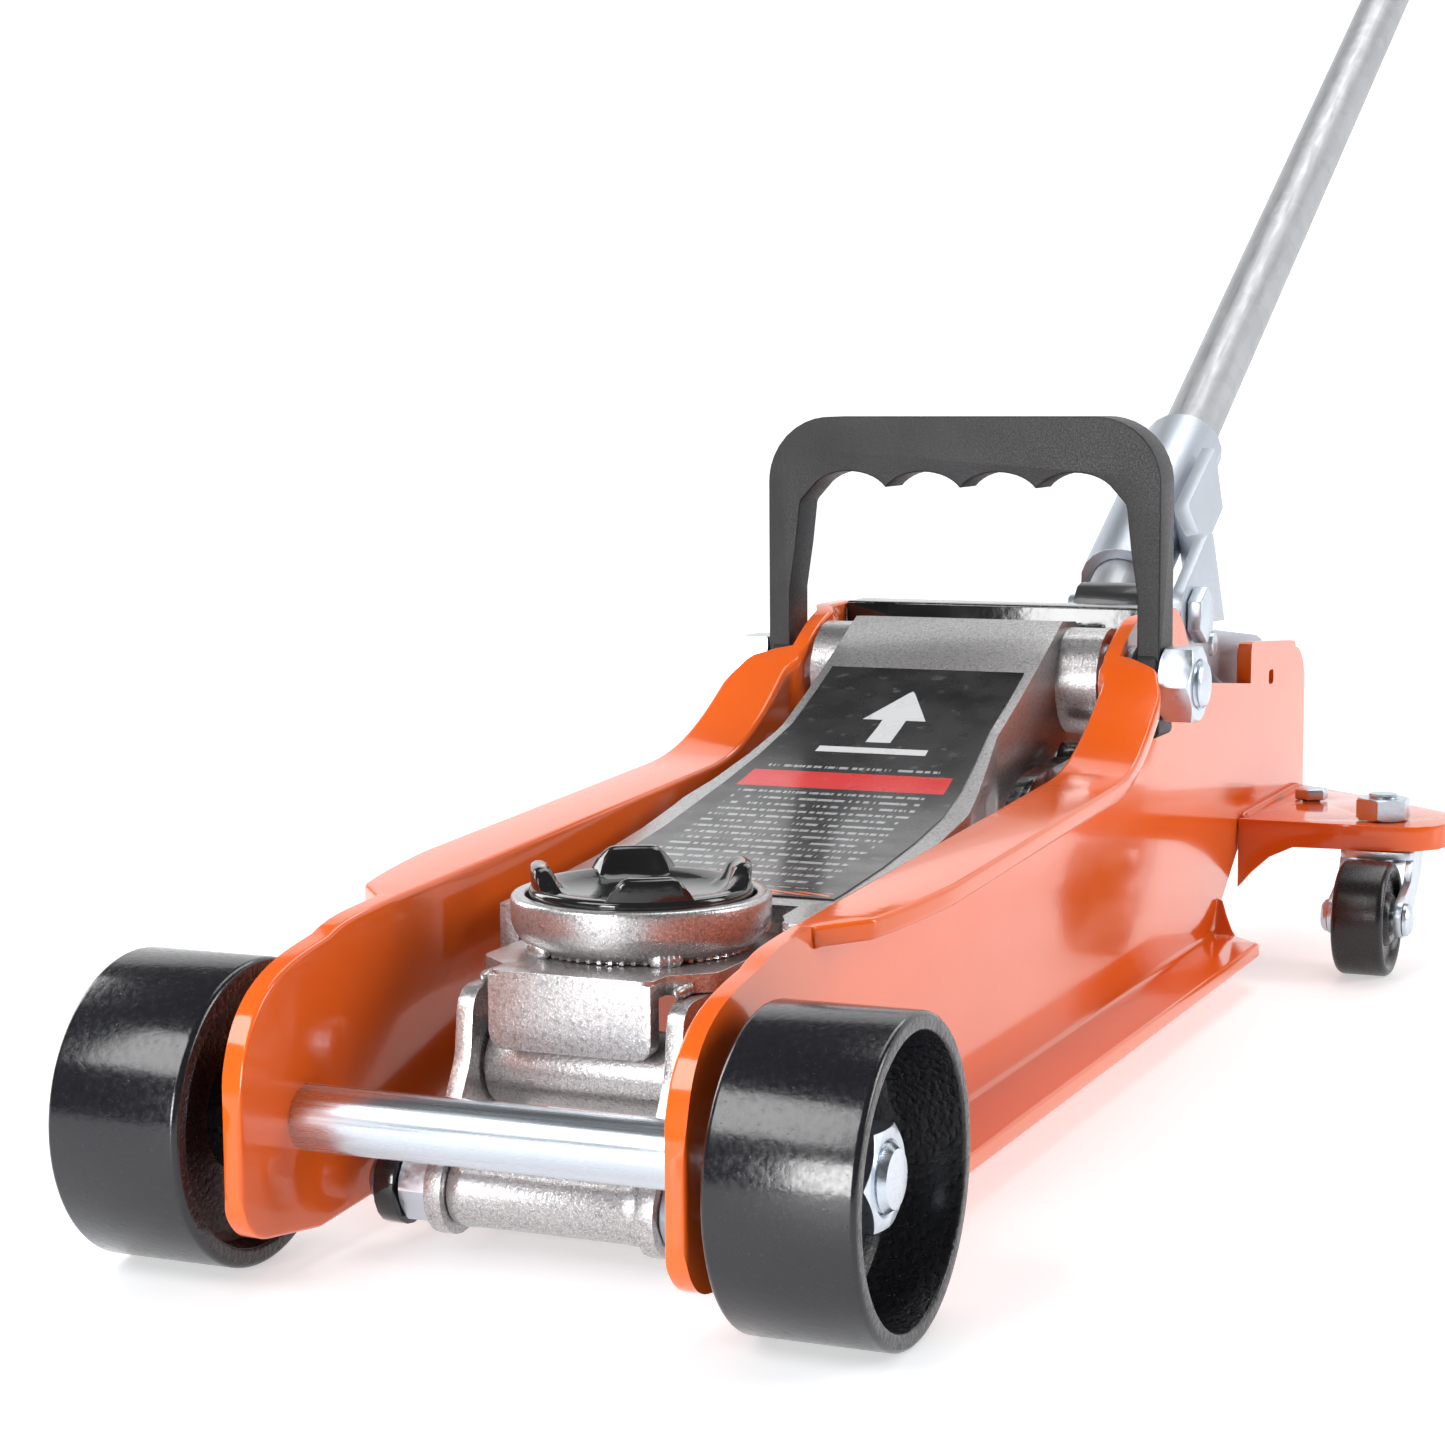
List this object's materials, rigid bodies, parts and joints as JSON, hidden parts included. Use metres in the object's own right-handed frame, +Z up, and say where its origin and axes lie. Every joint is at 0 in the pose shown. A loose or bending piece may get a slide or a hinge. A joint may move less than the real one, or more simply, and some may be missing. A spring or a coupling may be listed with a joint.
{
  "type": "hydraulic floor jack",
  "caption": "Low-profile hydraulic trolley jack with level saddle, folding carry handle, swivel rear casters and a pump handle.",
  "frame": {"origin": "middle of the footprint of the whole jack, handle included, on the floor", "axes": "+Z up, -Y is the front (saddle end), +Y is the handle end, X = 0 is the middle plane"},
  "size_m": [0.246, 1.1556, 0.4931],
  "materials": {
    "orange_paint": "gloss",
    "black_paint": "gloss",
    "hammertone": "satin",
    "zinc": "bright zinc plated",
    "galvanised": "satin galvanised",
    "unit_steel": "satin",
    "spring_steel": "satin",
    "wheel_black": "satin",
    "caster_plastic": "gloss",
    "handle_plastic": "textured",
    "grip_rubber": "textured"
  },
  "bodies": {
    "frame": {"side_plate_left": "orange_paint", "side_plate_right": "orange_paint", "front_axle": "zinc", "axle_nut_left": "zinc", "axle_nut_right": "zinc", "pivot_shaft": "zinc", "pivot_nut_left": "zinc", "pivot_nut_right": "zinc", "cover_plate": "black_paint", "link_anchor_left": "zinc", "link_anchor_right": "zinc", "pump_block": "unit_steel", "lift_cylinder": "unit_steel", "return_spring_left": "spring_steel", "return_spring_right": "spring_steel", "unit_trunnion_left": "zinc", "unit_trunnion_right": "zinc", "filler_plug": "zinc", "rear_tie_bar": "zinc", "plunger_spring": "spring_steel", "yoke_bolt": "zinc", "caster_wing_left": "orange_paint", "caster_wing_right": "orange_paint", "caster_kingpin_left": "zinc", "caster_kingpin_right": "zinc", "wing_screw_left": "zinc", "wing_screw_right": "zinc"},
    "lift_arm": {"lift_arm": "hammertone", "crosshead_pin": "zinc"},
    "saddle_bracket": {"bracket_plate_left": "hammertone", "bracket_plate_right": "hammertone", "bracket_crown": "hammertone", "saddle_cup": "hammertone", "lower_tube": "hammertone", "lower_rod": "zinc", "arm_front_pin": "zinc", "link_nut_left": "zinc", "link_nut_right": "zinc"},
    "saddle": {"saddle": "black_paint"},
    "link_bars": {"link_bar_left": "black_paint", "link_bar_right": "black_paint"},
    "ram": {"ram": "zinc", "ram_head": "unit_steel"},
    "front_wheel_left": {"front_wheel_left": "wheel_black"},
    "front_wheel_right": {"front_wheel_right": "wheel_black"},
    "carry_handle": {"carry_handle": "handle_plastic"},
    "handle_yoke": {"handle_yoke": "hammertone", "pump_roller": "zinc"},
    "handle": {"handle_tube": "galvanised", "handle_extension": "galvanised", "handle_grip": "grip_rubber"},
    "pump_plunger": {"pump_plunger": "zinc"},
    "release_valve": {"release_valve": "zinc"},
    "caster_left": {"caster_fork_left": "zinc", "caster_rivet_left": "zinc"},
    "caster_right": {"caster_fork_right": "zinc", "caster_rivet_right": "zinc"},
    "caster_wheel_left": {"caster_wheel_left": "caster_plastic"},
    "caster_wheel_right": {"caster_wheel_right": "caster_plastic"}
  },
  "joints": [
    {"name": "arm_lift", "type": "hinge", "parent": "frame", "child": "lift_arm", "pos_m": [0, -0.23433, 0.1066], "axis": [-1, 0, 0], "range_deg": [0, 72]},
    {"name": "bracket_level", "type": "hinge", "parent": "lift_arm", "child": "saddle_bracket", "pos_m": [0, -0.49783, 0.0407], "axis": [1, 0, 0], "range_deg": [0, 72]},
    {"name": "saddle_turn", "type": "hinge", "parent": "saddle_bracket", "child": "saddle", "pos_m": [0, -0.47183, 0.07], "axis": [0, 0, 1], "continuous": true},
    {"name": "link_lift", "type": "hinge", "parent": "frame", "child": "link_bars", "pos_m": [0, -0.25433, 0.0814], "axis": [-1, 0, 0], "range_deg": [0, 72]},
    {"name": "ram_stroke", "type": "slide", "parent": "frame", "child": "ram", "axis": [0, -1, 0], "range_m": [0, 0.0612], "deforming": ["return_spring_left", "return_spring_right"]},
    {"name": "front_wheel_left_spin", "type": "hinge", "parent": "frame", "child": "front_wheel_left", "pos_m": [-0.078, -0.54283, 0.035], "axis": [1, 0, 0], "continuous": true},
    {"name": "front_wheel_right_spin", "type": "hinge", "parent": "frame", "child": "front_wheel_right", "pos_m": [0.078, -0.54283, 0.035], "axis": [1, 0, 0], "continuous": true},
    {"name": "carry_handle_tilt", "type": "hinge", "parent": "frame", "child": "carry_handle", "pos_m": [0, -0.23433, 0.1066], "axis": [-1, 0, 0], "range_deg": [0, 30]},
    {"name": "handle_pump", "type": "hinge", "parent": "frame", "child": "handle_yoke", "pos_m": [0, -0.13283, 0.119], "axis": [1, 0, 0], "range_deg": [0, 50]},
    {"name": "handle_twist", "type": "hinge", "parent": "handle_yoke", "child": "handle", "pos_m": [0, -0.11844, 0.09336], "axis": [0, 0.8721, 0.4894], "range_deg": [0, 180]},
    {"name": "plunger_stroke", "type": "slide", "parent": "frame", "child": "pump_plunger", "axis": [0, 0, 1], "range_m": [0, 0.0238], "deforming": ["plunger_spring"]},
    {"name": "release_turn", "type": "hinge", "parent": "frame", "child": "release_valve", "pos_m": [0, -0.04583, 0.056], "axis": [0, 1, 0], "range_deg": [0, 180]},
    {"name": "caster_left_swivel", "type": "hinge", "parent": "frame", "child": "caster_left", "pos_m": [-0.101, -0.09683, 0.038], "axis": [0, 0, 1], "continuous": true},
    {"name": "caster_right_swivel", "type": "hinge", "parent": "frame", "child": "caster_right", "pos_m": [0.101, -0.09683, 0.038], "axis": [0, 0, 1], "continuous": true},
    {"name": "caster_wheel_left_spin", "type": "hinge", "parent": "caster_left", "child": "caster_wheel_left", "pos_m": [-0.101, -0.12083, 0.019], "axis": [1, 0, 0], "continuous": true},
    {"name": "caster_wheel_right_spin", "type": "hinge", "parent": "caster_right", "child": "caster_wheel_right", "pos_m": [0.101, -0.12083, 0.019], "axis": [1, 0, 0], "continuous": true}
  ],
  "couplings": [
    {"joint": "bracket_level", "follows": "arm_lift", "ratio": 1},
    {"joint": "link_lift", "follows": "arm_lift", "ratio": 1},
    {"joint": "ram_stroke", "follows": "arm_lift", "m_per_rad": 0.048646},
    {"joint": "plunger_stroke", "follows": "handle_pump", "m_per_rad": 0.02712},
    {"joint": "release_turn", "follows": "handle_twist", "ratio": 1}
  ]
}
